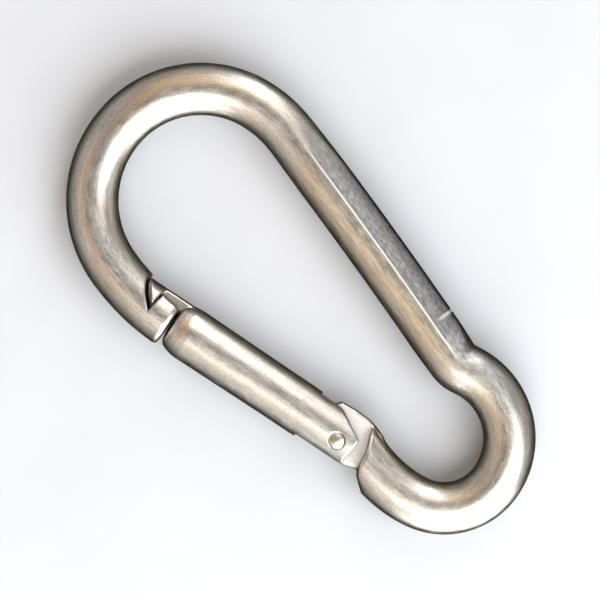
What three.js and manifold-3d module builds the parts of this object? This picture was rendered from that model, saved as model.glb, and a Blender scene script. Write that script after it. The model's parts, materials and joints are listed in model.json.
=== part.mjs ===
// Spring hook (carbine hook) bent from round stainless rod, with a sprung gate that opens inwards.
//
// Units are millimetres. The hook lies flat: its rod's centreline is in the plane Z = 0. X runs from
// the large bow (-X) to the small eye (+X), the spine is on the +Y side and the gate on the -Y side.
// The origin is the centre of the whole hook's bounding box. Nodes:
//   hook_body     the bent rod, with the slotted nose at one end and the flat hinge tang at the other
//   gate          a turned bar with a T-shaped latch head, forked and bored at its hinge end
//   hinge_rivet   the headed pin that joins the gate's fork to the tang
//   plunger       the follower in the gate's bore that presses on the tang's cam face
//   gate_spring   the compression spring behind the plunger
import * as THREE from 'three';
import { mergeVertices } from 'three/addons/utils/BufferGeometryUtils.js';
import Module from 'manifold-3d';

// ---- Driving dimensions ----
const ROD_DIAMETER = 11;
const ROD_RADIUS = ROD_DIAMETER / 2;
const ROD_SIDES = 20;
const ROD_STEP = 2.6; // spacing of the sections along the bent rod

const PIVOT = new THREE.Vector2(24.31, -15.3); // axis of the hinge rivet
const GATE_TILT = 11.33; // degrees from +X to the gate's own axis
const GATE_AXIS_Y = 1.33; // the gate's axis lies this far inside the rivet
const NOSE_FACE = new THREE.Vector2(-42.75, 1.15); // centre of the nose's end face, in the gate's frame
const NOSE_HEADING = 190.95; // degrees, the rod's direction as it leaves the nose
const GATE_FACE_X = -42.2; // shoulder of the gate that faces the nose
const GATE_END_X = 3.85; // hinge end of the gate's fork

// The rod's centreline, from the nose to the hinge. turn is in degrees, clockwise seen from +Z.
const BENDS = [
  { radius: 46.5, turn: 20.7 }, // nose, easing into the bow
  { radius: 24.1, turn: 76.4 }, // bow, gate side
  { radius: 22.4, turn: 81.0 }, // bow, spine side
  { radius: 27.1, turn: 20.5 }, // bow, easing into the spine
  { radius: 1080, turn: 3.0 }, // spine, very slightly bowed
  { radius: 10.6, turn: -29.5 }, // kink that throws the eye outwards
  { radius: 15.8, turn: 100.1 }, // eye, far side
  { radius: 13.2, turn: 78.1 }, // eye, bottom
  { radius: 24.4, turn: 14.4 }, // eye, running out
  { radius: 34, turn: 17 }, // up to the hinge
];

// Flats pressed on the outer side of the spine, front and back.
const FLAT_DISTANCE = 4.76; // from the rod's axis to the flat
const FLAT_ANGLE = 35; // degrees from Z to the flat's normal
const FLAT_LENGTH = 50;

// Latch: the gate's T head sits in a V notch across the nose, its neck in a slot between two cheeks.
const NECK_HALF = 1.9;
const SLOT_HALF = 2.3;
const LATCH_HEAD = [[-51.5, 6.95], [-48.1, 2.45], [-47.5, 5.6], [-46.6, 7.2], [-51.5, 7.2]];
const LATCH_NECK_LOW = 2.4; // underside of the neck
const NOTCH = [[-52.4, 9.6], [-52.0, 7.3], [-51.6, 5.4], [-50.6, 3.7], [-47.9, 0.7], [-46.5, 9.6]];
const CHEEK_TOP = [[-49, 5.66], [-38, 3.85]]; // tops of the nose's two cheeks
const SLOT_FLOOR = 1.5;

// Hinge: the tang turns in the gate's fork.
const TANG_HALF = 1.9;
const FORK_HALF = 2.2;
const FORK_FLOOR_X = -7.9;
const TANG_TOP = 7.4;
const TANG_BOTTOM = -4.1;
const SHOULDER = [[2.6, 12], [4.85, 5.9], [6.45, 1.4], [6.8, -2.1], [7.6, -3.9], [9.9, -6], [12, -12]];
const RIVET_RADIUS = 1.7;
const RIVET_FIT = 0.05; // radial gap in the gate's cheeks, where the rivet is peened tight
const HINGE_FIT = 0.1; // radial gap in the tang, which turns on the rivet
const RIVET_HALF_LENGTH = 5.5;
const RIVET_DOME = 0.25;

// Cam face of the tang and the plunger that rides on it. The cam's reach grows by CAM_LIFT per
// radian of opening, so the plunger's travel is in proportion to the gate's angle.
const CAM_REACH = 5.3;
const CAM_LIFT = 3.1;
const OPENING = 40; // degrees the gate swings inwards
const CAM_GAP = 0.1;
const BORE_RADIUS = 2.6;
const BORE_FLOOR_X = -34;
const PLUNGER_RADIUS = 2.4;
const PLUNGER_LENGTH = 6;
const SPIGOT_RADIUS = 1.3;
const SPIGOT_LENGTH = 4;
const SPRING_RADIUS = 2.0; // to the middle of the wire
const WIRE_RADIUS = 0.45;
const SPRING_TURNS = 12;
const END_GAP = 0.15;

const wasm = await Module();
wasm.setup();

// ---- Solids: three.js geometry in, three.js geometry out, joined and cut by manifold ----

function solid(geometry) {
  const bare = geometry.clone();
  bare.deleteAttribute('normal');
  bare.deleteAttribute('uv');
  const merged = mergeVertices(bare, 1e-4);
  return new wasm.Manifold(new wasm.Mesh({
    numProp: 3,
    vertProperties: merged.attributes.position.array,
    triVerts: new Uint32Array(merged.index.array),
  }));
}

function geometryOf(made) {
  const mesh = made.getMesh();
  const geometry = new THREE.BufferGeometry();
  geometry.setAttribute('position', new THREE.BufferAttribute(mesh.vertProperties, 3));
  geometry.setIndex(new THREE.BufferAttribute(mesh.triVerts, 1));
  geometry.computeVertexNormals();
  return geometry;
}

// A prism along Z of a closed outline, from -half to half.
function prism(points, half) {
  const shape = new THREE.Shape(points.map((p) => (p.isVector2 ? p : new THREE.Vector2(...p))));
  const geometry = new THREE.ExtrudeGeometry(shape, { depth: 2 * half, bevelEnabled: false });
  return geometry.translate(0, 0, -half);
}

// A turned piece along X, at height y: profile points are [x, radius], from one end to the other.
function turned(profile, y, sides) {
  const ends = [[profile[0][0], 0], ...profile, [profile.at(-1)[0], 0]];
  const geometry = new THREE.LatheGeometry(ends.map(([x, r]) => new THREE.Vector2(r, x)), sides);
  return geometry.rotateY(Math.PI / sides).rotateZ(-Math.PI / 2).translate(0, y, 0);
}

// A cylinder along Z at the hinge.
function pin(radius, half, sides = 32) {
  return new THREE.CylinderGeometry(radius, radius, 2 * half, sides).rotateX(Math.PI / 2);
}

function node(name, geometry, color, roughness) {
  const material = new THREE.MeshStandardMaterial({ color, roughness, metalness: 1 });
  const mesh = new THREE.Mesh(geometry, material);
  mesh.name = name;
  return mesh;
}

// ---- Hook body ----

const toBody = new THREE.Matrix4()
  .makeRotationZ(THREE.MathUtils.degToRad(GATE_TILT))
  .setPosition(PIVOT.x, PIVOT.y, 0);

// A chain of arcs in the plane Z = 0, each tangent to the one before.
class BentRod extends THREE.Curve {
  constructor(start, heading, bends) {
    super();
    this.arcs = [];
    let [point, angle, along] = [start.clone(), heading, 0];
    for (const bend of bends) {
      const turn = -THREE.MathUtils.degToRad(bend.turn);
      const length = bend.radius * Math.abs(turn);
      this.arcs.push({ point: point.clone(), angle, turn, length, along });
      point = BentRod.step(point, angle, turn, length);
      angle += turn;
      along += length;
    }
    this.total = along;
  }

  // The end of an arc that starts at point, heading along angle, and turns by turn over length.
  static step(point, angle, turn, length) {
    const chord = length * Math.sin(turn / 2) / (turn / 2);
    const bearing = angle + turn / 2;
    return new THREE.Vector2(point.x + chord * Math.cos(bearing), point.y + chord * Math.sin(bearing));
  }

  getPoint(t, target = new THREE.Vector3()) {
    const along = t * this.total;
    const arc = this.arcs.findLast((a) => a.along <= along) ?? this.arcs[0];
    const share = Math.max((along - arc.along) / arc.length, 1e-9);
    const end = BentRod.step(arc.point, arc.angle, arc.turn * share, arc.length * share);
    return target.set(end.x, end.y, 0);
  }
}

const noseFace = NOSE_FACE.clone().rotateAround(new THREE.Vector2(), THREE.MathUtils.degToRad(GATE_TILT)).add(PIVOT);
const rodPath = new BentRod(noseFace, THREE.MathUtils.degToRad(NOSE_HEADING), BENDS);

// The rod's section: a polygon around the circle, with flats facing +-Z and the two edges.
function rodSection() {
  const corner = ROD_RADIUS / Math.cos(Math.PI / ROD_SIDES);
  const points = [];
  for (let i = 0; i < ROD_SIDES; i++) {
    const angle = (i + 0.5) * 2 * Math.PI / ROD_SIDES;
    points.push(new THREE.Vector2(corner * Math.cos(angle), corner * Math.sin(angle)));
  }
  return new THREE.Shape(points);
}

function sweptRod() {
  const steps = Math.round(rodPath.total / ROD_STEP);
  return solid(new THREE.ExtrudeGeometry(rodSection(), { steps, extrudePath: rodPath }));
}

// A block whose face is one pressed flat; angle is from +Z to its normal, towards the outer side.
function spineFlat(angle) {
  const spine = rodPath.arcs[4];
  const middle = BentRod.step(spine.point, spine.angle, spine.turn / 2, spine.length / 2);
  return solid(new THREE.BoxGeometry(FLAT_LENGTH, ROD_DIAMETER, ROD_DIAMETER)
    .translate(0, 0, ROD_RADIUS + FLAT_DISTANCE)
    .rotateX(-THREE.MathUtils.degToRad(angle))
    .rotateZ(spine.angle + spine.turn / 2)
    .translate(middle.x, middle.y, 0));
}

// Contact point of the cam with the plunger's flat face when the gate is open by angle.
function camPoint(angle) {
  const reach = CAM_REACH + CAM_LIFT * angle;
  return new THREE.Vector2(
    -reach * Math.cos(angle) + CAM_LIFT * Math.sin(angle),
    reach * Math.sin(angle) + CAM_LIFT * Math.cos(angle),
  );
}

// Outline of the tang, in the gate's frame: cam face, top, a root buried in the rod, and bottom.
function tangOutline() {
  const open = THREE.MathUtils.degToRad(OPENING);
  const cam = [];
  for (let i = 0; i <= 8; i++) cam.push(camPoint(open * i / 8));
  const root = [[9, 5], [9, -3]];
  const corner = 1.2;
  const bottom = [[6.0, -2.9], [4, -3.5], [2.5, TANG_BOTTOM], [-CAM_REACH + corner, TANG_BOTTOM]];
  const heel = [-CAM_REACH, TANG_BOTTOM + corner];
  const top = [[-3.4, TANG_TOP], [0, TANG_TOP + 0.2], [3.6, TANG_TOP + 0.1], [7.6, 6.2]];
  return [...cam, ...top, ...root, ...bottom, heel];
}

// Everything of the rod's end that lies on the nose's side of the shoulder, outside the tang.
function hingeCutter() {
  return solid(prism([...SHOULDER, [-12, -12], [-12, 12]], ROD_DIAMETER).applyMatrix4(toBody));
}

function latchCutters() {
  const [left, right] = [CHEEK_TOP[0], CHEEK_TOP.at(-1)];
  const above = [[right[0], 12], [left[0], 12]];
  const slot = [
    [-48, SLOT_FLOOR], [-38, SLOT_FLOOR], [-38, 12], [-48, 12],
  ];
  return [
    solid(prism(NOTCH, ROD_DIAMETER).applyMatrix4(toBody)),
    solid(prism([...CHEEK_TOP, ...above], ROD_DIAMETER).applyMatrix4(toBody)),
    solid(prism(slot, SLOT_HALF).applyMatrix4(toBody)),
  ];
}

function hookBody() {
  let rod = sweptRod();
  for (const angle of [FLAT_ANGLE, 180 - FLAT_ANGLE]) rod = rod.subtract(spineFlat(angle));
  for (const cutter of latchCutters()) rod = rod.subtract(cutter);
  const tang = solid(prism(tangOutline(), TANG_HALF).applyMatrix4(toBody));
  const hole = solid(pin(RIVET_RADIUS + HINGE_FIT, ROD_DIAMETER).applyMatrix4(toBody));
  return geometryOf(rod.subtract(hingeCutter()).add(tang).subtract(hole));
}

// ---- Gate and what is in it: drawn in the gate's frame, with the rivet's axis at the origin ----

// The fork seen from the front: square-ended, with its inner corner cut away to clear the shoulder.
function forkOutline() {
  return [
    [GATE_FACE_X - 1, -12], [GATE_END_X, -12], [GATE_END_X, -3.8], [3.3, -2.2], [GATE_END_X, 0.4],
    [GATE_END_X, 2.5], [-3.5, 6.83], [-3.5, 12], [GATE_FACE_X - 1, 12],
  ];
}

function gate() {
  const round = ROD_RADIUS;
  const bar = solid(turned([
    [GATE_FACE_X, round - 1.5], [GATE_FACE_X + 1.6, round - 0.2], [GATE_FACE_X + 4.2, round + 0.3],
    [-20, round + 0.1], [GATE_END_X + 1, round],
  ], GATE_AXIS_Y, ROD_SIDES));
  const latchBar = solid(turned([[-53, round], [GATE_FACE_X + 5, round]], GATE_AXIS_Y, ROD_SIDES));
  const neck = solid(prism([
    [-47.6, LATCH_NECK_LOW + 1.8], [-47, LATCH_NECK_LOW], [GATE_FACE_X + 4, LATCH_NECK_LOW],
    [GATE_FACE_X + 4, 12], [-47.6, 12],
  ], NECK_HALF));
  const head = solid(prism(LATCH_HEAD, ROD_DIAMETER));
  const fork = solid(prism(forkOutline(), ROD_DIAMETER));
  const slot = solid(prism([[FORK_FLOOR_X, -12], [12, -12], [12, 12], [FORK_FLOOR_X, 12]], FORK_HALF));
  const bore = solid(turned([[BORE_FLOOR_X, BORE_RADIUS], [-5, BORE_RADIUS]], GATE_AXIS_Y, 24));
  const rivetHole = solid(pin(RIVET_RADIUS + RIVET_FIT, ROD_DIAMETER));
  return geometryOf(bar
    .intersect(fork)
    .add(neck.add(head).intersect(latchBar))
    .subtract(slot)
    .subtract(bore)
    .subtract(rivetHole));
}

// A pin with slightly domed, peened ends.
function hingeRivet() {
  const [r, h] = [RIVET_RADIUS, RIVET_HALF_LENGTH];
  const profile = [[0, -h], [0.6 * r, -h], [r, -h + RIVET_DOME], [r, h - RIVET_DOME], [0.6 * r, h], [0, h]];
  return new THREE.LatheGeometry(profile.map((p) => new THREE.Vector2(...p)), 32).rotateX(Math.PI / 2);
}

const plungerFaceX = -CAM_REACH - CAM_GAP;
const plungerBackX = plungerFaceX - PLUNGER_LENGTH;

function plunger() {
  return turned([
    [plungerBackX - SPIGOT_LENGTH, SPIGOT_RADIUS - 0.3],
    [plungerBackX - SPIGOT_LENGTH + 0.4, SPIGOT_RADIUS],
    [plungerBackX, SPIGOT_RADIUS],
    [plungerBackX, PLUNGER_RADIUS],
    [plungerFaceX - 0.3, PLUNGER_RADIUS],
    [plungerFaceX, PLUNGER_RADIUS - 0.3],
  ], GATE_AXIS_Y, 24);
}

// The spring's wire, with closed turns at both ends.
class Coil extends THREE.Curve {
  constructor(from, to, turns) {
    super();
    Object.assign(this, { from, to, turns });
  }

  getPoint(t, target = new THREE.Vector3()) {
    const angle = 2 * Math.PI * this.turns * t;
    const pitch = 2.4 * WIRE_RADIUS; // axial advance over each closed end turn
    const end = 1 / this.turns;
    const open = Math.min(Math.max((t - end) / (1 - 2 * end), 0), 1);
    const closed = Math.min(t, end) / end + Math.max(t - 1 + end, 0) / end;
    const x = this.from + pitch * closed + (this.to - this.from - 2 * pitch) * open;
    return target.set(x, GATE_AXIS_Y + SPRING_RADIUS * Math.cos(angle), SPRING_RADIUS * Math.sin(angle));
  }
}

function gateSpring() {
  const margin = WIRE_RADIUS + END_GAP;
  const coil = new Coil(BORE_FLOOR_X + margin, plungerBackX - margin, SPRING_TURNS);
  const wire = new THREE.Shape().absarc(0, 0, WIRE_RADIUS, 0, 2 * Math.PI);
  return new THREE.ExtrudeGeometry(wire, { steps: SPRING_TURNS * 14, curveSegments: 3, extrudePath: coil });
}

// ---- Assembly ----

const STAINLESS = 0xb9b3a6;
const SPRING_STEEL = 0xa9abad;

const gateFrame = new THREE.Group();
gateFrame.position.set(PIVOT.x, PIVOT.y, 0);
gateFrame.rotation.z = THREE.MathUtils.degToRad(GATE_TILT);
gateFrame.add(
  node('gate', gate(), STAINLESS, 0.28),
  node('hinge_rivet', hingeRivet(), STAINLESS, 0.35),
  node('plunger', plunger(), SPRING_STEEL, 0.35),
  node('gate_spring', gateSpring(), SPRING_STEEL, 0.3),
);

const hook = new THREE.Group();
hook.add(node('hook_body', hookBody(), STAINLESS, 0.28), gateFrame);

export default hook;
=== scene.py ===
"""Looks of the spring snap hook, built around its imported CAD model.

The hook body and the gate are skinned from distance fields. Each field follows the CAD design (a rod
along a chain of arcs, a turned bar, flat cuts), with its edges rounded as tumbling rounds them. Where
it leaves the CAD by some tenths of a millimetre, a comment says so.
Lengths in the fields are millimetres, in the CAD frame or the gate's own; meshes are in metres.
"""
import json
import math

import bpy
import numpy as np
import openvdb
from mathutils import Matrix, Vector


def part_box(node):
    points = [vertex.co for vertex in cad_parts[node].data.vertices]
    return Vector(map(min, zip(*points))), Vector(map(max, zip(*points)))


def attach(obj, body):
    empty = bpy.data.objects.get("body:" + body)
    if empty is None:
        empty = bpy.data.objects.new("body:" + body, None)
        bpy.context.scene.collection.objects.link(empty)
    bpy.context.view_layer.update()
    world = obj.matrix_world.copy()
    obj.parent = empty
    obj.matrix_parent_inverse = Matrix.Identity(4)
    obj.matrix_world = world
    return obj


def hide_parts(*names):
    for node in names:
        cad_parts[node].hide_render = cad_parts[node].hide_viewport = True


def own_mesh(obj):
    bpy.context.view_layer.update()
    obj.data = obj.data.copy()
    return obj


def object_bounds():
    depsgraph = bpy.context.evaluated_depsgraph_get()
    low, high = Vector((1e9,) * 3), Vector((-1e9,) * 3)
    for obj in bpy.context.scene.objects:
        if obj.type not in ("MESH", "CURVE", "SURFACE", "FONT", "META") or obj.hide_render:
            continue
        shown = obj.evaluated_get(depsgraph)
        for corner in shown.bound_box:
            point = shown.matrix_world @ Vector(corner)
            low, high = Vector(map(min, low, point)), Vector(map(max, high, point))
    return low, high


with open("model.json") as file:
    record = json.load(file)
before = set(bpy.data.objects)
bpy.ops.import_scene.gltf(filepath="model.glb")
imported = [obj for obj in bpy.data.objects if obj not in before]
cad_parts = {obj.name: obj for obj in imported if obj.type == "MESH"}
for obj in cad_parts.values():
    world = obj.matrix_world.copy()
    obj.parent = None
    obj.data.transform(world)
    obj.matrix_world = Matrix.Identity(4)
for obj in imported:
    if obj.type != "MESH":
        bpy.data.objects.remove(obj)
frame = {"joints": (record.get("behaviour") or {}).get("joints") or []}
cad_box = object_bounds()

MM = 0.001
VOXEL = 0.34

# ---- Sizes, in millimetres: from the frame where it holds them, else repeated from the CAD design ----
joints = {joint["name"]: joint for joint in frame["joints"]}
PIVOT = np.array(joints["gate_hinge"]["pos_m"][:2]) / MM
to_nose = joints["plunger_slide"]["axis"]
GATE_TILT = math.atan2(-to_nose[1], -to_nose[0])
ROD_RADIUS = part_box("hook_body")[1].z / MM
RIVET_RADIUS = (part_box("hinge_rivet")[1].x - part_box("hinge_rivet")[0].x) / 2 / MM
RIVET_HALF_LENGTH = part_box("hinge_rivet")[1].z / MM

GATE_AXIS_Y = 1.33
NOSE_FACE = (-42.75, 1.15)
NOSE_HEADING = math.radians(190.95)
BENDS = [  # radius, degrees turned clockwise
    (46.5, 20.7),  # nose
    (24.1, 76.4),  # bow, gate side
    (22.4, 81.0),  # bow, spine side
    (27.1, 20.5),  # bow, easing into the spine
    (1080, 3.065),  # spine, 1.2 longer than the CAD's to reach the tighter kink
    (6.0, -29.5),  # kink, tighter than the CAD's 10.6
    (70, 1.0),  # eases the tighter kink into the eye
    (15.8, 99.1),  # eye, far side
    (13.2, 78.1),  # eye, bottom
    (24.4, 14.4),  # eye, running out
    (34, 17),  # up to the hinge
]
SPINE, KINK = 4, 5
FLAT_DISTANCE = 4.8  # from the rod's axis to its pressed flats, 4.76 in the CAD
FLAT_ANGLE = math.radians(35)
TANG_HALF = 1.9
TANG_TOP = 7.4
TANG_BOTTOM = -3.7  # 0.4 above the CAD's, so that the heel stays inside the gate
HINGE_FIT = 0.1
FORK_HALF = 2.2
FORK_FLOOR = -7.9
RIVET_FIT = 0.05
NECK_HALF = 1.9
SLOT_HALF = 2.3
GATE_FACE = -42.55  # the middle of the crowned face, 0.35 nearer the nose than the CAD's flat one
BARREL = [  # the gate's radius along its axis; its end is rounder than the CAD's chamfer
    (-42.2, 4.1), (-41.6, 4.85), (-40.6, 5.32), (-39.2, 5.66), (-37.9, 5.78), (-20, 5.6), (5, 5.5),
]
CAM_REACH = 5.3
CAM_LIFT = 3.1
OPENING = math.radians(40)
BORE_RADIUS = 2.6
BORE_FLOOR = -34
BORE_MOUTH = -5
PLUNGER_FACE = -5.4
PLUNGER_BACK = PLUNGER_FACE - 6


# ---- Distance fields ----
def cut(a, b, rounding):
    """Intersection of two fields, with its edge rounded."""
    near = np.maximum(rounding - np.abs(a - b), 0) / rounding
    return np.maximum(a, b) + near * near * rounding / 4


def join(a, b, fillet):
    """Union of two fields, with a fillet between them."""
    return -cut(-a, -b, fillet)


def outline(x, y, points):
    """Signed distance, in the plane, to a closed outline. It is negative inside."""
    distance = np.full(np.broadcast(x, y).shape, np.inf)
    inside = np.zeros(distance.shape, bool)
    for (ax, ay), (bx, by) in zip(points, points[1:] + points[:1]):
        dx, dy = bx - ax, by - ay
        share = np.clip(((x - ax) * dx + (y - ay) * dy) / (dx * dx + dy * dy), 0, 1)
        distance = np.minimum(distance, np.hypot(x - ax - share * dx, y - ay - share * dy))
        if dy:
            inside ^= ((ay > y) != (by > y)) & (x < ax + (y - ay) * dx / dy)
    return np.where(inside, -distance, distance)


def bump(value, centre, width):
    """A smooth hump of height 1 at centre."""
    return np.exp(-(((value - centre) / width) ** 2))


def fade(value, low, high):
    """0 below low, 1 above high, and smooth between."""
    t = np.clip((value - low) / (high - low), 0, 1)
    return t * t * (3 - 2 * t)


def in_gate_frame(x, y):
    """A point of the CAD frame, seen from the hinge, with X along the closed gate's axis."""
    dx, dy = x - PIVOT[0], y - PIVOT[1]
    c, s = math.cos(GATE_TILT), math.sin(GATE_TILT)
    return dx * c + dy * s, dy * c - dx * s


def from_gate_frame(x, y):
    """The way back from in_gate_frame."""
    c, s = math.cos(GATE_TILT), math.sin(GATE_TILT)
    return PIVOT[0] + x * c - y * s, PIVOT[1] + x * s + y * c


class BentRod:
    """The rod's centreline: a chain of arcs, each tangent to the one before."""

    def __init__(self):
        point, heading, along = np.array(from_gate_frame(*NOSE_FACE)), NOSE_HEADING, 0.0
        self.arcs = []
        for radius, degrees in BENDS:
            turn = -math.radians(degrees)
            length = radius * abs(turn)
            bend = turn / length
            centre = point + np.array([-math.sin(heading), math.cos(heading)]) / bend
            self.arcs.append((point, heading, bend, length, along, centre))
            heading += turn
            point = centre + np.array([math.sin(heading), -math.cos(heading)]) / bend
            along += length

    def measure(self, x, y):
        """(distance along the rod, offset to its outer side) of each point in the plane."""
        along = np.zeros(np.broadcast(x, y).shape)
        offset = np.full(along.shape, 1e3)
        for i, (point, heading, bend, length, start, centre) in enumerate(self.arcs):
            vx, vy = x - centre[0], y - centre[1]
            sx, sy = math.sin(heading) / bend, -math.cos(heading) / bend
            swept = np.arctan2(sx * vy - sy * vx, sx * vx + sy * vy) / bend
            low = -15 if i == 0 else 0
            high = length + (2 if i == len(self.arcs) - 1 else 0)
            held = np.clip(swept, low, high)
            angle = heading + bend * held
            across = np.sign(bend) * (1 / abs(bend) - np.hypot(vx, vy))
            qx = vx - np.sin(angle) / bend
            qy = vy + np.cos(angle) / bend
            gap = np.hypot(qx, qy)
            side = np.where(held == swept, across, np.sign(across) * gap)
            closer = gap < np.abs(offset) - 1e-9
            along = np.where(closer, start + held, along)
            offset = np.where(closer, side, offset)
        return along, offset


ROD = BentRod()
SPINE_START, KINK_START = ROD.arcs[SPINE][4], ROD.arcs[KINK][4]
NICK = KINK_START - 8.6  # how far along the rod its nick is


def cam_outline():
    """The tang's outline in the gate's frame: cam face, top, root and bottom."""
    cam = []
    steps = 8
    for i in range(steps + 1):
        angle = OPENING * i / steps
        reach = CAM_REACH + CAM_LIFT * angle
        cam.append((
            CAM_LIFT * math.sin(angle) - reach * math.cos(angle),
            CAM_LIFT * math.cos(angle) + reach * math.sin(angle),
        ))
    top = [(-3.4, TANG_TOP), (0, TANG_TOP + 0.2), (3.6, TANG_TOP + 0.1), (7.6, 6.2)]
    root = [(9, 5), (9, -3)]
    bottom = [(6, -2.9), (4, -3.5), (2.5, TANG_BOTTOM), (-CAM_REACH + 1.2, TANG_BOTTOM)]
    return cam + top + root + bottom + [(-CAM_REACH, TANG_BOTTOM + 1.2)]


NOTCH = [(-52.4, 9.6), (-52.0, 7.3), (-51.6, 5.4), (-50.6, 3.7), (-47.9, 0.7), (-46.5, 9.6)]
CHEEK_CUT = [(-49, 5.66), (-38, 3.85), (-38, 12), (-49, 12)]
SLOT = [(-48, 1.5), (-38, 1.5), (-38, 12), (-48, 12)]
SHOULDER_CUT = [
    (2.6, 12), (4.85, 5.9), (6.45, 1.4), (6.8, -2.1), (7.6, -3.9), (9.9, -6), (12, -12),
    (-12, -12), (-12, 12),
]


def rod_field(x, y, z):
    """The bent rod with its pressed flats, and the marks that forming left on the spine and kink."""
    along, offset = ROD.measure(x, y)
    begun = fade(along, SPINE_START - 3, SPINE_START + 12)
    on_spine = begun * (1 - fade(along, KINK_START - 6, KINK_START + 1))
    wide = offset / (1 + 0.035 * on_spine)  # pressed 3.5% wider; the CAD's rod stays round
    round_rod = np.hypot(wide, z) - ROD_RADIUS
    sloping = wide * math.sin(FLAT_ANGLE) + np.abs(z) * math.cos(FLAT_ANGLE)
    flat = sloping - (FLAT_DISTANCE + 0.8 * (1 - on_spine))
    field = cut(round_rod, flat, 0.1)
    front_or_back = np.abs(z) > 2
    ridge = 0.11 * on_spine * bump(offset, 0.75, 0.3) * front_or_back
    squeezed = 0.08 * bump(along, KINK_START + 5.2, 2.2) * bump(offset, 3.2, 2.0) * front_or_back
    nick = 0.15 * bump(along, NICK, 0.35) * fade(offset, 1.6, 3.6)
    return field - ridge - squeezed + nick


def body_field(x, y, z):
    """The hook's body: the rod, notched and slotted at its nose, with the milled tang at its other end."""
    gx, gy = in_gate_frame(x, y)
    along, _ = ROD.measure(x, y)
    field = cut(rod_field(x, y, z), -along, 1.1)
    lean = 0.62 * (1 - fade(np.abs(z), 0.6, 2.3))  # the notch's wall leans to the latch in the middle
    field = cut(field, -outline(gx - lean, gy, NOTCH), 0.25)
    field = cut(field, -outline(gx, gy, CHEEK_CUT), 0.4)
    slot = np.maximum(outline(gx, gy, SLOT), np.abs(z) - SLOT_HALF)
    field = cut(field, -slot, 0.3)
    field = cut(field, -outline(gx, gy, SHOULDER_CUT), 0.7)
    tang = cut(outline(gx, gy, cam_outline()), np.abs(z) - TANG_HALF, 1.0)
    field = join(field, tang, 0.5)
    return cut(field, RIVET_RADIUS + HINGE_FIT - np.hypot(gx, gy), 0.15)


FORK = [
    (-60, -12), (3.85, -12), (3.85, -3.8), (3.3, -2.2), (3.85, 0.4), (3.85, 2.5), (-3.5, 6.83),
    (-3.5, 12), (-60, 12),
]
HEAD = [(-51.5, 6.95), (-48.1, 2.45), (-47.5, 5.6), (-46.6, 7.2), (-51.5, 7.2)]
NECK = [(-47.6, 4.2), (-47, 2.4), (-38.2, 2.4), (-38.2, 12), (-47.6, 12)]


def gate_field(x, y, z):
    """The gate, in its own frame: a turned bar, forked and bored, with a neck and a latch head."""
    radius = np.hypot(y - GATE_AXIS_Y, z)
    barrel = np.interp(x, *zip(*BARREL))
    face = GATE_FACE + np.minimum(0.022 * radius**2, 0.5)
    bar = cut(radius - barrel, face - x, 0.5)
    latch_bar = cut(radius - ROD_RADIUS, x + 37.2, 0.1)
    neck = cut(outline(x, y, NECK), np.abs(z) - NECK_HALF, 0.3)
    head = outline(x, y, HEAD)
    latch = cut(join(neck, head, 0.2), latch_bar, 0.35)
    field = join(cut(bar, outline(x, y, FORK), 0.4), latch, 0.25)
    slot = np.maximum(FORK_FLOOR - x, np.abs(z) - FORK_HALF)
    field = cut(field, -slot, 0.35)
    bore = np.maximum(np.maximum(radius - BORE_RADIUS, BORE_FLOOR - x), x - BORE_MOUTH)
    field = cut(field, -bore, 0.2)
    # a shallow countersink round the rivet, which the CAD leaves out
    dimple = np.hypot(np.hypot(x, y), np.abs(z) - 6.95) - 2.3
    field = cut(field, -dimple, 0.15)
    return cut(field, RIVET_RADIUS + RIVET_FIT - np.hypot(x, y), 0.1)


# ---- Meshes ----
def skin(field, low, high, voxel=VOXEL):
    """Vertices and quads on a field's zero surface, pulled onto it exactly."""
    counts = [int(math.ceil((b - a) / voxel)) + 1 for a, b in zip(low, high)]
    x, y, z = np.ogrid[tuple(slice(0, n) for n in counts)]
    values = field(low[0] + voxel * x, low[1] + voxel * y, low[2] + voxel * z)
    grid = openvdb.FloatGrid()
    grid.copyFromArray(np.ascontiguousarray(values, np.float32))
    points, quads = grid.convertToQuads(0.0)
    points = np.asarray(points, float) * voxel + np.array(low)
    reach = 0.3 * voxel
    step = 0.02
    for _ in range(4):
        at = field(*points.T)
        slope = np.stack([
            field(*(points + step * axis).T) - field(*(points - step * axis).T) for axis in np.eye(3)
        ], 1) / (2 * step)
        size = np.maximum((slope**2).sum(1), 0.25)
        points -= np.clip(at / size, -reach, reach)[:, None] * slope
    return points, np.asarray(quads)


def mesh_object(name, points, faces, coordinates):
    """A smooth-shaded object from points in millimetres. Its material reads the coordinates."""
    mesh = bpy.data.meshes.new(name)
    mesh.from_pydata([tuple(p) for p in points * MM], [], [tuple(int(i) for i in f) for f in faces])
    mesh.validate()
    mesh.update()
    mesh.shade_smooth()
    kept = mesh.attributes.new("steel", "FLOAT_VECTOR", "POINT")
    kept.data.foreach_set("vector", np.asarray(coordinates, np.float32).ravel())
    made = bpy.data.objects.new(name, mesh)
    bpy.context.scene.collection.objects.link(made)
    return made


def face_outwards(points, faces):
    """The faces, wound so that the closed surface's volume is positive."""
    a, b, c = points[faces[:, 0]], points[faces[:, 1]], points[faces[:, 2]]
    volume = (np.cross(a, b) * c).sum()
    if faces.shape[1] == 4:
        d = points[faces[:, 3]]
        volume += (np.cross(a, c) * d).sum()
    return faces if volume > 0 else faces[:, ::-1]


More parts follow.
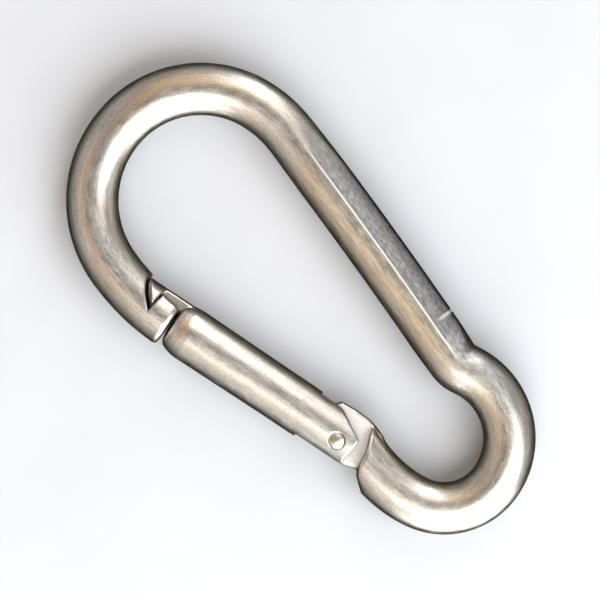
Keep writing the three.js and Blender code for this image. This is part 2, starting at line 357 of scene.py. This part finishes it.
def hook_body():
    low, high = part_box("hook_body")
    points, quads = skin(body_field, [v / MM - 1 for v in low], [v / MM + 1 for v in high])
    along, offset = ROD.measure(points[:, 0], points[:, 1])
    straightened = np.stack([along, offset, points[:, 2]], 1)
    gx, gy = in_gate_frame(points[:, 0], points[:, 1])
    on_tang = outline(gx, gy, SHOULDER_CUT) < -0.1
    straightened = np.where(on_tang[:, None], points, straightened)
    milled = on_tang * fade(-outline(gx, gy, cam_outline()), 0.4, 0.9)
    made = mesh_object("polished_hook_body", points, face_outwards(points, quads), straightened)
    kept = made.data.attributes.new("milled", "FLOAT", "POINT")
    kept.data.foreach_set("value", milled.astype(np.float32))
    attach(made, "hook")
    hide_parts("hook_body")
    return made


def placed(points):
    """Points in the gate's frame, put where the gate is."""
    x, y = from_gate_frame(points[:, 0], points[:, 1])
    return np.stack([x, y, points[:, 2]], 1)


def gate():
    points, quads = skin(gate_field, [-53, -6, -7], [5, 9, 7], 0.6 * VOXEL)
    made = mesh_object("polished_gate", placed(points), face_outwards(points, quads), points)
    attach(made, "gate")
    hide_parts("gate")
    return made


def revolved(profile, sides=64):
    """Points and faces of a solid turned about X. profile runs from axis to axis as (x, radius)."""
    rings = profile[1:-1]
    points = [(profile[0][0], 0, 0)]
    for x, r in rings:
        for i in range(sides):
            angle = 2 * math.pi * i / sides
            points.append((x, r * math.cos(angle), r * math.sin(angle)))
    points.append((profile[-1][0], 0, 0))
    last = len(points) - 1
    faces = []
    for i in range(sides):
        j = (i + 1) % sides
        faces.append((0, 1 + j, 1 + i))
        for k in range(len(rings) - 1):
            a, b = 1 + k * sides, 1 + (k + 1) * sides
            faces.append((a + i, a + j, b + j, b + i))
        tail = last - sides
        faces.append((last, tail + i, tail + j))
    return np.array(points, float), faces


def hinge_rivet():
    """The pin, with peened, domed heads. Its axis is Z, at the pivot."""
    half, dome = RIVET_HALF_LENGTH, 0.4  # the CAD's dome is 0.25 high
    shares = (0.25, 0.5, 0.7, 0.85, 0.95, 1.0)  # of the radius
    head = [(half - 0.02 - dome * t**2.2, RIVET_RADIUS * t) for t in shares]
    profile = [(-half, 0)] + [(-h, r) for h, r in head] + head[::-1] + [(half, 0)]
    points, faces = revolved(profile)
    points = points[:, [1, 2, 0]]
    elsewhere = points + np.array([0, 0, 40])  # so that its grain isn't the gate's
    made = mesh_object("polished_rivet", placed(points), faces, elsewhere)
    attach(made, "gate")
    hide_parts("hinge_rivet")
    return made


def plunger():
    """The follower: a short piston, with a stem that guides the spring."""
    back, face = PLUNGER_BACK, PLUNGER_FACE
    profile = [
        (back - 4, 0), (back - 4, 1.0), (back - 3.6, 1.3), (back - 0.2, 1.3), (back, 1.4), (back, 2.2),
        (back + 0.2, 2.4), (face - 0.3, 2.4), (face - 0.05, 2.25), (face, 2.0), (face, 0),
    ]
    points, faces = revolved(profile)
    points[:, 1] += GATE_AXIS_Y
    made = mesh_object("turned_plunger", placed(points), faces, points)
    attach(made, "plunger")
    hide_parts("plunger")
    return made


def gate_spring():
    """Round wire in twelve turns, the two end turns closed."""
    turns, radius, wire, sides, steps = 12, 2.0, 0.45, 12, 36
    end_room = 0.6  # from the wire's centre to the bore's floor and to the plunger
    start, end = BORE_FLOOR + end_room, PLUNGER_BACK - end_room
    pitch = 2.4 * wire  # of the closed turns
    centre = []
    for i in range(turns * steps + 1):
        t = i / (turns * steps)
        closed = min(t, 1 / turns) * turns + max(t - 1 + 1 / turns, 0) * turns
        opened = min(max((t - 1 / turns) / (1 - 2 / turns), 0), 1)
        angle = 2 * math.pi * turns * t
        x = start + pitch * closed + (end - start - 2 * pitch) * opened
        centre.append((x, GATE_AXIS_Y + radius * math.cos(angle), radius * math.sin(angle)))
    centre = np.array(centre)
    heading = np.gradient(centre, axis=0)
    heading /= np.linalg.norm(heading, axis=1)[:, None]
    outward = (centre - np.array([0, GATE_AXIS_Y, 0])) * np.array([0, 1, 1])
    outward /= np.linalg.norm(outward, axis=1)[:, None]
    across = np.cross(heading, outward)
    rings = []
    for i in range(sides):
        angle = 2 * math.pi * i / sides
        rings.append(centre + wire * (math.cos(angle) * outward + math.sin(angle) * across))
    points = np.stack(rings, 1).reshape(-1, 3)
    faces = []
    for k in range(len(centre) - 1):
        for i in range(sides):
            j = (i + 1) % sides
            a, b = k * sides, (k + 1) * sides
            faces.append((a + i, b + i, b + j, a + j))
    faces.append(tuple(range(sides)))
    faces.append(tuple(range(len(points) - 1, len(points) - 1 - sides, -1)))
    made = mesh_object("wound_gate_spring", placed(points), faces, points)
    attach(made, "gate")
    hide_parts("gate_spring")
    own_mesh(made)
    return made


# ---- Materials ----
class Nodes:
    """A material's node tree, with short calls to add nodes and join them."""

    def __init__(self, name):
        self.material = bpy.data.materials.new(name)
        self.material.use_nodes = True
        self.tree = self.material.node_tree
        self.shader = self.tree.nodes["Principled BSDF"]

    def add(self, kind, inputs=None, **settings):
        node = self.tree.nodes.new(kind)
        for key, value in settings.items():
            setattr(node, key, value)
        for key, value in (inputs or {}).items():
            if isinstance(value, bpy.types.NodeSocket):
                self.tree.links.new(value, node.inputs[key])
            else:
                node.inputs[key].default_value = value
        return node

    def maths(self, operation, *values):
        return self.add("ShaderNodeMath", dict(enumerate(values)), operation=operation).outputs[0]

    def noise(self, place, stretch, scale, detail, roughness=0.55):
        mapped = self.add("ShaderNodeMapping", {"Vector": place, "Scale": stretch})
        return self.add("ShaderNodeTexNoise", {
            "Vector": mapped.outputs[0], "Scale": scale, "Detail": detail, "Roughness": roughness,
        }).outputs["Fac"]

    def ramp(self, value, stops):
        node = self.add("ShaderNodeValToRGB", {"Fac": value})
        elements = node.color_ramp.elements
        while len(elements) < len(stops):
            elements.new(0.5)
        for element, (position, colour) in zip(elements, stops):
            element.position = position
            element.color = (*colour, 1)
        return node.outputs["Color"]

    def spread(self, value, low, high, from_low=0.35, from_high=0.65):
        return self.add("ShaderNodeMapRange", {
            "Value": value, "From Min": from_low, "From Max": from_high, "To Min": low, "To Max": high,
        }).outputs[0]

    def mix(self, factor, a, b, blend="MIX"):
        node = self.add("ShaderNodeMix", {}, data_type="RGBA", blend_type=blend)
        for socket, value in ((node.inputs[0], factor), (node.inputs[6], a), (node.inputs[7], b)):
            if isinstance(value, bpy.types.NodeSocket):
                self.tree.links.new(value, socket)
            else:
                socket.default_value = value
        return node.outputs[2]

    def pressed_flat(self, place):
        """Masks: the scaly pressed flats, the round side beside them, a painted highlight along the ridge
        between the two and at its nick, and painted shade darkening the flats towards their outer edge."""
        part = self.add("ShaderNodeSeparateXYZ", {"Vector": place}).outputs
        along, offset = part["X"], part["Y"]
        begun = self.spread(along, 0.0, 1.0, SPINE_START, SPINE_START + 14)
        ended = self.spread(along, 1.0, 0.0, KINK_START + 3, KINK_START + 15)
        both = self.maths("MULTIPLY", begun, ended)
        outer = self.spread(offset, 0.0, 1.0, 0.65, 1.15)
        flat = self.maths("MULTIPLY", both, outer)
        before_kink = self.spread(along, 1.0, 0.0, KINK_START - 5, KINK_START + 2)
        round_side = self.maths("MULTIPLY", self.maths("SUBTRACT", both, flat), before_kink)
        from_ridge = self.maths("ABSOLUTE", self.maths("SUBTRACT", offset, 0.8))
        ridge = self.maths("MULTIPLY", self.spread(from_ridge, 1.0, 0.0, 0.08, 0.3), both)
        ridge = self.maths("MULTIPLY", ridge, before_kink)
        from_nick = self.maths("ABSOLUTE", self.maths("SUBTRACT", along, NICK))
        nick = self.spread(from_nick, 0.7, 0.0, 0.15, 0.5)
        nick = self.maths("MULTIPLY", nick, self.spread(offset, 0.0, 1.0, 1.8, 2.6))
        # painted highlight: mask of the ridge line and the nick, which are painted near white
        painted_ridge_highlight = self.maths("MAXIMUM", ridge, nick)
        # painted shade: the flats' colour darkens towards their outer edge
        painted_edge_shade = self.spread(offset, 1.0, 0.38, 2.8, 5.2)
        return flat, round_side, painted_ridge_highlight, painted_edge_shade

    def bump(self, height, distance, strength, normal=None):
        inputs = {"Height": height, "Distance": distance, "Strength": strength}
        if normal is not None:
            inputs["Normal"] = normal
        return self.add("ShaderNodeBump", inputs).outputs[0]

    def set(self, **sockets):
        for key, value in sockets.items():
            socket = self.shader.inputs[key.replace("_", " ")]
            if isinstance(value, bpy.types.NodeSocket):
                self.tree.links.new(value, socket)
            else:
                socket.default_value = value


def polished_steel(name, light, warm, warmth, streak, grain, pressed=False):
    """Tumble-polished stainless: a warm, uneven tint, drawn streaks along the rod and a fine grain.

    warmth is how much of the warm tint the patches take, streak and grain are the strengths of their
    bumps, and pressed adds the hook body's pressed flats and milled tang.
    """
    m = Nodes(name)
    place = m.add("ShaderNodeAttribute", attribute_name="steel").outputs["Vector"]
    patches = m.noise(place, (0.06, 0.3, 0.3), 1.0, 2.0)
    streaks = m.noise(place, (0.2, 2.4, 2.4), 1.0, 4.0, 0.6)
    speckle = m.noise(place, (1, 1, 1), 3.2, 3.0, 0.6)
    tint = m.mix(m.spread(patches, 0.0, warmth), light, warm)
    shade = m.ramp(streaks, [(0.3, (0.80, 0.79, 0.78)), (0.62, (1, 1, 1))])
    tint = m.mix(1.0, tint, shade, "MULTIPLY")
    fleck = m.ramp(speckle, [(0.3, (0.62, 0.60, 0.56)), (0.6, (1, 1, 1))])
    tint = m.mix(0.7, tint, fleck, "MULTIPLY")
    rough = m.spread(m.noise(place, (0.3, 1.0, 1.0), 1.4, 4.0, 0.6), 0.30, 0.42)
    if pressed:
        flat, round_side, painted_ridge_highlight, painted_edge_shade = m.pressed_flat(place)
        straw = m.ramp(streaks, [(0.35, (0.56, 0.43, 0.27)), (0.6, (0.88, 0.79, 0.64))])
        tint = m.mix(m.maths("MULTIPLY", round_side, 0.42), tint, straw)
        scales = m.noise(place, (0.5, 1, 1), 1.6, 5.0, 0.7)
        mottle = m.ramp(scales, [(0.3, (0.34, 0.34, 0.34)), (0.7, (0.86, 0.85, 0.83))])
        # the flats take their mottle, darkened by painted shade towards their outer edge
        tint = m.mix(flat, tint, m.mix(1.0, mottle, painted_edge_shade, "MULTIPLY"))
        # painted highlight: near white along the ridge and at the nick
        tint = m.mix(painted_ridge_highlight, tint, (1.0, 1.0, 0.99, 1))
        milled = m.add("ShaderNodeAttribute", attribute_name="milled").outputs["Fac"]
        satin = m.ramp(speckle, [(0.3, (0.93, 0.93, 0.92)), (0.6, (1.0, 1.0, 0.99))])
        tint = m.mix(milled, tint, satin)
        for mask, rougher in ((painted_ridge_highlight, 0.35), (flat, 0.08), (milled, 0.5)):
            rough = m.maths("ADD", rough, m.spread(mask, 0.0, rougher, 0.0, 1.0))
    # painted shade: ambient occlusion darkens the colour nearly to black in crevices, gaps and recesses
    open_air = m.add("ShaderNodeAmbientOcclusion", {"Distance": 0.0016}, samples=6).outputs["AO"]
    painted_crevice_shade = m.ramp(open_air, [(0.12, (0.03, 0.025, 0.02)), (0.5, (1, 1, 1))])
    tint = m.mix(1.0, tint, painted_crevice_shade, "MULTIPLY")
    normal = m.bump(streaks, 0.00006, streak)
    normal = m.bump(speckle, 0.000035, grain, normal)
    m.set(Base_Color=tint, Metallic=1.0, Roughness=rough, Normal=normal)
    m.set(Specular_Tint=(0.02, 0.02, 0.02, 1))  # grazing edges stay dark
    return m.material


def drawn_wire(name):
    """Bright drawn wire and turned steel, with faint rings from the tool."""
    m = Nodes(name)
    place = m.add("ShaderNodeAttribute", attribute_name="steel").outputs["Vector"]
    rings = m.noise(place, (6, 0.2, 0.2), 1.5, 2.0)
    tint = m.ramp(rings, [(0.3, (0.5, 0.5, 0.51)), (0.7, (0.68, 0.68, 0.67))])
    rough = m.spread(rings, 0.24, 0.36)
    m.set(Base_Color=tint, Metallic=1.0, Roughness=rough, Normal=m.bump(rings, 0.00002, 0.5))
    return m.material


# ---- Stage: floor, lights and camera ----
IMAGE_RIGHT = Vector((1, 1, 0)).normalized()  # the hook lies across the image's diagonal
IMAGE_UP = Vector((-1, 1, 0)).normalized()
OVERHEAD = Vector((0, 0, 1))


def pale_floor():
    """A matt, bluish white floor at the hook's lowest point."""
    low = cad_box[0][2]
    half = 1.6  # half its width
    mesh = bpy.data.meshes.new("floor")
    corners = [(-half, -half, low), (half, -half, low), (half, half, low), (-half, half, low)]
    mesh.from_pydata(corners, [], [(0, 1, 2, 3)])
    floor = bpy.data.objects.new("floor", mesh)
    bpy.context.scene.collection.objects.link(floor)
    m = Nodes("pale_floor")
    place = m.add("ShaderNodeTexCoord").outputs["Object"]
    grain = m.noise(place, (1, 1, 1), 40.0, 2.0)
    m.set(Base_Color=m.ramp(grain, [(0.3, (0.72, 0.76, 0.81)), (0.7, (0.75, 0.79, 0.84))]), Roughness=0.9)
    mesh.materials.append(m.material)
    floor.visible_glossy = False  # the steel's sides face a darker room than the floor


def softbox(name, azimuth, tilt, size, radiance, colour):
    """An area light seen in the steel, azimuth degrees round from image right and tilt from overhead."""
    turn, lean = math.radians(azimuth), math.radians(tilt)
    sideways = IMAGE_RIGHT * math.cos(turn) + IMAGE_UP * math.sin(turn)
    away = sideways * math.sin(lean) + OVERHEAD * math.cos(lean)
    across = OVERHEAD.cross(sideways)
    distance = 0.7
    light = bpy.data.lights.new(name, "AREA")
    light.shape = "RECTANGLE"
    light.size, light.size_y = size
    light.energy = radiance * math.pi * size[0] * size[1]
    light.color = colour
    lamp = bpy.data.objects.new(name, light)
    upward = away.cross(across)
    lamp.matrix_world = Matrix.Translation(away * distance) @ Matrix((
        (across.x, upward.x, away.x, 0),
        (across.y, upward.y, away.y, 0),
        (across.z, upward.z, away.z, 0),
        (0, 0, 0, 1),
    ))
    bpy.context.scene.collection.objects.link(lamp)


def studio_light():
    """A dim room, two white softboxes to the lower right, a white strip to the upper right, and three
    warm cards round the rest."""
    world = bpy.data.worlds.new("studio")
    world.use_nodes = True
    tree = world.node_tree
    place = tree.nodes.new("ShaderNodeTexCoord")
    split = tree.nodes.new("ShaderNodeSeparateXYZ")
    height = tree.nodes.new("ShaderNodeValToRGB")
    tree.links.new(place.outputs["Generated"], split.inputs[0])
    rise = tree.nodes.new("ShaderNodeMapRange")
    rise.inputs["From Min"].default_value = -1
    tree.links.new(split.outputs["Z"], rise.inputs["Value"])
    tree.links.new(rise.outputs[0], height.inputs["Fac"])
    tree.links.new(height.outputs["Color"], tree.nodes["Background"].inputs["Color"])
    elements = height.color_ramp.elements
    horizon = 0.5
    shades = [(0.22, 0.03), (0.38, 0.22), (0.56, 0.42), (0.8, 0.30), (1.0, 0.18)]  # height, grey
    while len(elements) < len(shades):
        elements.new(0.5)
    for element, (position, grey) in zip(elements, shades):
        element.position = position
        element.color = (grey, grey * 0.98, grey * (0.84 if position < horizon else 1), 1)
    bpy.context.scene.world = world
    white = (1.0, 1.0, 1.0)
    softbox("key_softbox", -55, 42, (1.0, 0.64), 2.5, white)
    softbox("low_softbox", -74, 92, (1.1, 0.56), 2.6, white)
    softbox("beige_card", 234, 46, (0.34, 0.62), 0.42, (1.0, 0.80, 0.56))
    softbox("right_strip", 66, 62, (0.20, 0.80), 2.6, white)
    softbox("golden_card", 100, 44, (0.42, 0.66), 0.36, (1.0, 0.56, 0.10))
    softbox("tan_card", 182, 50, (0.66, 0.42), 0.34, (1.0, 0.60, 0.28))


def camera():
    """Straight above the hook, turned so that it lies across the image's diagonal."""
    distance = 0.9
    width = 0.12607  # that the image spans, at the rod's centreline
    lens = bpy.data.cameras.new("camera")
    lens.sensor_width = 36
    lens.lens = 36 * distance / width
    lens.clip_start = 0.01
    eye = bpy.data.objects.new("camera", lens)
    centre = IMAGE_RIGHT * -0.0013 + IMAGE_UP * 0.00142
    eye.matrix_world = Matrix.Translation(centre + OVERHEAD * distance) @ Matrix((
        (IMAGE_RIGHT.x, IMAGE_UP.x, 0, 0),
        (IMAGE_RIGHT.y, IMAGE_UP.y, 0, 0),
        (0, 0, 1, 0),
        (0, 0, 0, 1),
    ))
    bpy.context.scene.collection.objects.link(eye)
    bpy.context.scene.camera = eye


light_rod, warm_rod = (0.90, 0.89, 0.86, 1), (0.82, 0.69, 0.51, 1)
light_bar, warm_bar = (0.90, 0.88, 0.85, 1), (0.84, 0.76, 0.64, 1)
rod_steel = polished_steel("rod_steel", light_rod, warm_rod, 0.45, 0.15, 0.45, pressed=True)
bar_steel = polished_steel("bar_steel", light_bar, warm_bar, 0.35, 0.12, 0.6)
wire_steel = drawn_wire("wire_steel")
for piece, finish in (
    (hook_body(), rod_steel),
    (gate(), bar_steel),
    (hinge_rivet(), bar_steel),
    (plunger(), wire_steel),
    (gate_spring(), wire_steel),
):
    piece.data.materials.append(finish)

pale_floor()
studio_light()
camera()
view = bpy.context.scene.view_settings
view.view_transform = "Standard"
view.exposure = 0.3
view.gamma = 0.86
